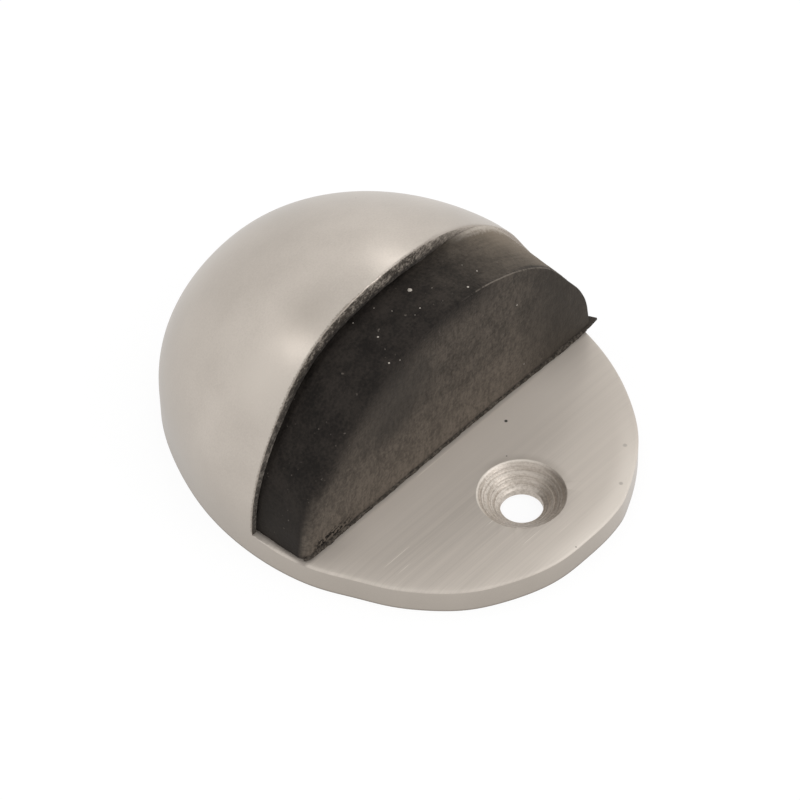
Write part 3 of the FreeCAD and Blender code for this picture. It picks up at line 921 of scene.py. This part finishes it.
def growFoot(bm):  # the ragged line of rubber along the foot of the face
    made = bmesh.ops.create_grid(bm, x_segments=foot["steps"], y_segments=1, size=1.0)["verts"]
    made, chain = keepOnly(bm, made, lambda vert: vert.co.y <= 0)
    across = rubber["front"][0] - foot["short"]
    for vert in made:
        vert.co = Vector((rubber["frontShift"] + across * vert.co.x, 0.0, casting["thickness"]))

    def onBead(vert, reach, level):
        x = vert.co.x
        floor = Vector((x, 0.0, casting["thickness"]))
        ragged = foot["usual"]
        for share, rate, lane, climb in foot["waves"]:
            ragged += share * noise.noise(Vector((x * rate, lane, level * climb)))
        ragged = max(ragged, 0.0)
        place, spread, more = foot["thick"]
        thick = more * swell(x, place, spread)
        share, rate, lane, climb = foot["crumbs"]
        crumb = share * max(noise.noise(Vector((x * rate, level * climb, lane))), 0.0)
        crumb *= swell(x, place, spread)
        place, spread, more = foot["wide"]
        least, most = foot["width"]
        width = least + most * ragged + thick + crumb + more * swell(x, place, spread)
        least, most = foot["height"]
        height = least + most * ragged + thick * foot["thickUp"]
        ends = softStep((across - abs(x - rubber["frontShift"])) / foot["ends"])
        floor.y = faceY(floor) + foot["sink"] - reach * (foot["sink"] + width * ends)
        floor.z += level * height
        return floor

    for vert in made:
        vert.co = onBead(vert, *foot["profile"][0])
    for reach, level in foot["profile"][1:]:
        chain = extrudeTo(bm, chain, lambda vert: onBead(vert, reach, level), foot["finish"])
    bmesh.ops.remove_doubles(bm, verts=bm.verts, dist=near)
    openEdges = [edge for edge in bm.edges if edge.is_boundary]
    bmesh.ops.holes_fill(bm, edges=openEdges, sides=0)


def growFlash(bm):  # the thin tail at the right-hand corner
    low = casting["thickness"]
    verts = [bm.verts.new((x, y, low)) for x, y in flash["outline"]]
    sheet = bm.faces.new(verts)
    raised = bmesh.ops.extrude_face_region(bm, geom=[sheet])["geom"]
    top = [part for part in raised if isinstance(part, bmesh.types.BMVert)]
    bmesh.ops.translate(bm, verts=top, vec=(0, 0, flash["thickness"]))
    edges = [edge for edge in bm.edges if all(vert in top for vert in edge.verts)]
    bmesh.ops.bevel(
        bm, geom=edges, offset=flash["roundness"], offset_type="OFFSET", affect="EDGES",
        segments=2, profile=0.5, material=-1,
    )


black = {
    "noises": {
        "mottle": ((0.35, 4.0, 0.6),),
        "pores": ((3.0, 3.0, 0.7),),
        "scores": ((1.0, 3.0, 0.6), (3.5, 1.0, 0.7), (0.0, 0.35, 0.0)),
        "grit": ((1.1, 4.0, 0.65), (1.4, 1.0, 0.8), (0.0, 0.5, 0.0)),
        "crumbs": ((2.2, 2.0, 0.6),),
        "smears": ((1.0, 3.0, 0.6), (0.35, 3.0, 0.35), (0.0, 0.0, 0.1)),
        "dots": ((1.9, 2.0, 0.5),),
    },
    "hollowAcross": (("x", -16.0, 5.5), ("x", 18.0, 5.5)),
    "hollowUp": (("z", 21.0, 3.0),),
    "front": (1.0, 0.15),  # mm behind the face, where its finish begins and where it is full
    "faceLevels": (0.38, 0.62),
    "faceTones": (tone(0.040, 0.0335, 0.0275), tone(0.104, 0.086, 0.070)),
    # painted light: lighter tones for the face towards its foot
    "paintedLightTones": (tone(0.086, 0.071, 0.058), tone(0.162, 0.134, 0.108)),
    "paintedLightArea": (("z", 14.0, 3.0, 0.0, 0.8),),
    "right": (tone(0.032, 0.027, 0.022), 0.75, (("x", 8.0, 18.0),)),
    # the face darker just above its foot: grime, and painted shade in the crease over the bead
    "grimeAndShade": (tone(0.022, 0.018, 0.015), 1.0, (), 3.75, 3.2),
    "grimeAndShadePatches": (0.45, 0.6, 0.35, 0.85),  # from and to in the mottle, and the shares there
    "crumbs": (
        tone(0.008, 0.0066, 0.0055), 1.0,
        (("z", 4.9, 3.9), ("x", -20.5, -18.5), ("x", -13.0, -15.5)), 0.48, 0.53,
    ),
    "patch": (tone(0.036, 0.0315, 0.0275), 0.6, (), 7.5, 2.0),
    "patchPlace": (-7.2, 15.4),  # across and up
    "flankLevels": (0.36, 0.66),
    "flankTones": (tone(0.010, 0.0082, 0.007), tone(0.030, 0.0246, 0.0208)),
    "shade": (0.72, 1.15),  # from where to where the face darkens towards its outline
    "shadeLow": (("z", 12.0, 9.5, 0.0, 0.16),),
    "shadeArea": (("x", 12.0, 2.0), ("z", 4.0, 9.0)),
    "leftFoot": (tone(0.028, 0.024, 0.0205), 0.7, (("z", 13.0, 4.0), ("x", -8.0, -16.0))),
    "dusty": (7.0, 17.0),
    "dustyArea": (("z", 8.0, 15.0),),
    "dustyRight": (("x", 12.0, 17.0, 0.0, 0.5),),
    "dustyTop": (0.0, 10.0),
    "dustyTopArea": (("z", 14.0, 20.0, 0.0, 0.22),),
    "dustTone": tone(0.165, 0.136, 0.106),
    "rubbed": (tone(0.21, 0.172, 0.132), 1.0, (("x", 9.0, 15.0),), 4.8, -0.6),
    "fringe": (tone(0.47, 0.42, 0.365), 1.0, (("x", 7.5, 12.5), ("z", 10.0, 14.0)), 1.1, -0.1),
    # the light line where the flank meets the face, by the mm behind the face
    "line": (tone(0.24, 0.208, 0.175), 0.5, (("z", 11.0, 15.0), ("x", 2.0, 6.0)), 0.2, 0.15),
    "lineFront": (0.03, 0.08),
    "lineGaps": (0.7, 1.1),
    "dots": (tone(0.22, 0.19, 0.165), 0.35, (), 0.72, 0.77),
    "bump": 0.13,
}


def blackRubber():
    shader = Shader("black_rubber")
    mottle, pores, scores, grit, crumbs, smears, dots = shader.noises(black["noises"])
    x, y, z = shader.axes("xyz")
    hollow = shader.area(black["hollowAcross"]) * shader.area(black["hollowUp"]) ** rubber["bowFade"]
    behind = y - rubber["frontY"] - hollow * rubber["bow"][1]

    level = shader.ramp(mottle * 0.2 + scores * 0.15 + pores * 0.35 + grit * 0.3, *black["faceLevels"])
    face = shader.blend(level, *black["faceTones"])
    # painted light towards the foot of the face
    face = shader.blend(shader.area(black["paintedLightArea"]), face, shader.blend(level, *black["paintedLightTones"]))
    face = shader.coat(face, black["right"])
    patches = shader.ramp(mottle, *black["grimeAndShadePatches"])
    # grime and painted shade in the crease above the foot
    face = shader.coat(face, black["grimeAndShade"], z + mottle * 0.8 - grit * 0.5, patches)
    face = shader.coat(face, black["crumbs"], crumbs)
    patch = distance((x, z), black["patchPlace"]) + mottle * 4.0 - 2.0
    face = shader.coat(face, black["patch"], patch)

    level = shader.ramp(mottle * 0.5 + pores * 0.5, *black["flankLevels"])
    flank = shader.blend(level, *black["flankTones"])
    inside = squareSum(archShares(shader, rubber["front"], rubber["frontShift"]))
    shade = shader.ramp(inside + mottle * 0.24 - shader.area(black["shadeLow"]), *black["shade"])
    face = shader.blend(shade * shader.area(black["shadeArea"]), face, flank)
    flank = shader.coat(flank, black["leftFoot"])
    across = x + mottle * 6.0
    dusty = shader.ramp(across, *black["dusty"]) * shader.area(black["dustyArea"])
    dusted = dusty * (0.05 + smears * 0.55 + pores * 0.3 + shader.area(black["dustyRight"]))
    dusted += shader.ramp(across, *black["dustyTop"]) * shader.area(black["dustyTopArea"]) * pores
    flank = shader.blend(dusted, flank, black["dustTone"])
    flank = shader.coat(flank, black["rubbed"], hoodLine(shader, smears * -1.6), dusty)
    flank = shader.coat(flank, black["fringe"], hoodLine(shader, smears * 0.9 + pores * 1.2 - 1.05))

    colour = shader.blend(shader.ramp(behind + mottle * 0.8 - 0.4, *black["front"]), flank, face)
    line = shader.ramp(behind, *black["lineFront"]) * shader.ramp(scores + mottle, *black["lineGaps"])
    colour = shader.coat(colour, black["line"], behind, line)
    return shader.finish(
        Base_Color=shader.coat(colour, black["dots"], dots),
        Roughness=0.62 + pores * 0.2,
        Normal=shader.bump(pores * 0.6 + scores * 0.3 + mottle * 0.5, black["bump"]),
        Specular_IOR_Level=0.12,
    )


bead = {
    "noises": {"grains": ((3.2, 3.0, 0.7),)},
    "levels": (0.38, 0.68),
    "tones": (tone(0.034, 0.0285, 0.0235), tone(0.115, 0.097, 0.08)),
    "bump": 0.2,
}


def rubberFoot():
    shader = Shader("rubber_foot")
    (grains,) = shader.noises(bead["noises"])
    return shader.finish(
        Base_Color=shader.blend(shader.ramp(grains, *bead["levels"]), *bead["tones"]),
        Roughness=0.8,
        Normal=shader.bump(grains, bead["bump"]),
        Specular_IOR_Level=0.1,
    )


# Dust that lies on the rubber, placed by the pixels where it shows

dust = {
    "spots": (
        (410, 290, 0.24), (468, 287, 0.13), (477, 271, 0.09), (353, 323, 0.07), (378, 337, 0.1),
        (389, 363, 0.1), (400, 360, 0.05), (420, 308, 0.08), (415, 315, 0.04), (392, 311, 0.05),
        (374, 308, 0.05), (432, 288, 0.04), (517, 305, 0.09), (524, 364, 0.07), (462, 265, 0.04),
    ),  # x and y in the picture, radius in mm
    "flatness": 0.45,
    "lumps": (0.25, 9.0),  # height as a share, turns in a mm
    "noises": {"grains": ((5.0, 2.0, 0.5),)},
    "tones": (tone(0.28, 0.25, 0.215), tone(0.56, 0.51, 0.45)),
    "sharpAngle": 60,
}


def makeDust(block):
    surface = BVHTree.FromObject(block, bpy.context.evaluated_depsgraph_get())
    bm = bmesh.new()
    height, rate = dust["lumps"]
    for x, y, radius in dust["spots"]:
        start, ray = sightLine((x, y))
        place, normal, _, _ = surface.ray_cast(start * millimetre, ray)
        if place is None:
            print("no rubber at", x, y)
            continue
        made = bmesh.ops.create_icosphere(bm, subdivisions=2, radius=radius)["verts"]
        for vert in made:
            vert.co *= 1 + height * noise.noise(vert.co * rate + Vector((x, y, 0)))
            vert.co.z *= dust["flatness"]
        turn = normal.to_track_quat("Z", "Y").to_matrix()
        bmesh.ops.rotate(bm, verts=made, cent=(0, 0, 0), matrix=turn)
        bmesh.ops.translate(bm, verts=made, vec=place / millimetre)
    shader = Shader("dust")
    (grains,) = shader.noises(dust["noises"])
    material = shader.finish(Base_Color=shader.blend(grains, *dust["tones"]), Roughness=0.85)
    piece = makePiece("rubber_dust", bm, [material], dust["sharpAngle"])


# Screw: it stays as it is, in zinc-plated steel

steel = {
    "noises": {"cloud": ((0.9, 3.0, 0.5),), "grain": ((6.0, 2.0, 0.5),)},
    "tones": (tone(0.50, 0.51, 0.53), tone(0.66, 0.66, 0.65)),
    "bump": 0.015,
}


def platedSteel():
    shader = Shader("plated_steel")
    cloud, grain = shader.noises(steel["noises"])
    return shader.finish(
        Base_Color=shader.blend(cloud, *steel["tones"]),
        Metallic=1.0,
        Roughness=0.26 + grain * 0.14,
        Normal=shader.bump(grain, steel["bump"]),
    )


makeCasting()
makeDust(makeRubber())
screwSteel = platedSteel()
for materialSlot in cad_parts["buffer_screw"].material_slots:
    materialSlot.material = screwSteel
print("pieces made")


# Floor, world and lamps

studio = {
    "floorSide": 6.0,
    "floorGap": 0.02,  # mm under the plate
    "floorTone": tone(0.85, 0.85, 0.85),
    "floorGlow": 1.04,
    # how white the floor is in the picture, in metal and through glass
    "rays": {"Is Camera Ray": 0.86, "Is Glossy Ray": 0.7, "Is Transmission Ray": 0.7},
    "white": tone(1.0, 1.0, 1.0),
    "world": 0.95,  # its strength, which is 1 where the camera sees it
    "lamps": {  # direction from the object, distance in m, side in m, watts
        "spot": ((-0.389, 0.595, 0.703), 0.9, 0.09, 0.2),
        "crown": ((0.53, 0.495, 0.688), 0.9, 0.14, 0.2),
        "back": ((0.8, 0.55, 0.25), 1.4, 0.9, 0.15),
        "front": ((0.25, -0.8, 0.55), 1.0, 0.5, 1.3),
    },
}


def makeFloor():
    bm = bmesh.new()
    bmesh.ops.create_grid(bm, x_segments=1, y_segments=1, size=studio["floorSide"] / 2)
    bmesh.ops.translate(bm, verts=bm.verts, vec=(0, 0, -studio["floorGap"] * millimetre))
    mesh = bpy.data.meshes.new("floor")
    bm.to_mesh(mesh)
    bm.free()
    shader = Shader("floor")
    rays = [shader.node("LightPath", {}, {}, name) * share for name, share in studio["rays"].items()]
    plain = shader.node("BsdfDiffuse", {}, {"Color": studio["floorTone"]})
    glow = shader.node("Emission", {}, {"Color": studio["white"], "Strength": studio["floorGlow"]})
    mixed = shader.node("MixShader", {}, {0: rays[0] + rays[1] + rays[2], 1: plain, 2: glow})
    mesh.materials.append(shader.output(mixed))
    floor = addObject("floor", mesh)


def makeWorld():
    shader = Shader("studio", "worlds")
    seen = shader.node("LightPath", {}, {}, "Is Camera Ray")
    level = shader.node("MapRange", {}, {0: seen, 3: studio["world"], 4: 1.0})
    background = shader.node("Background", {}, {"Color": studio["white"], "Strength": level})
    bpy.context.scene.world = shader.output(background, "OutputWorld")


def makeLamps():
    for name, (direction, away, side, watts) in studio["lamps"].items():
        lamp = bpy.data.lights.new(name, "AREA")
        lamp.shape = "DISK"
        lamp.size = side
        lamp.energy = watts
        made = addObject(name, lamp)
        outward = Vector(direction).normalized()
        made.location = outward * away
        made.rotation_euler = outward.to_track_quat("Z", "Y").to_euler()


makeFloor()
makeWorld()
makeLamps()
bpy.context.scene.view_settings.view_transform = "Standard"
print("floor and light made")
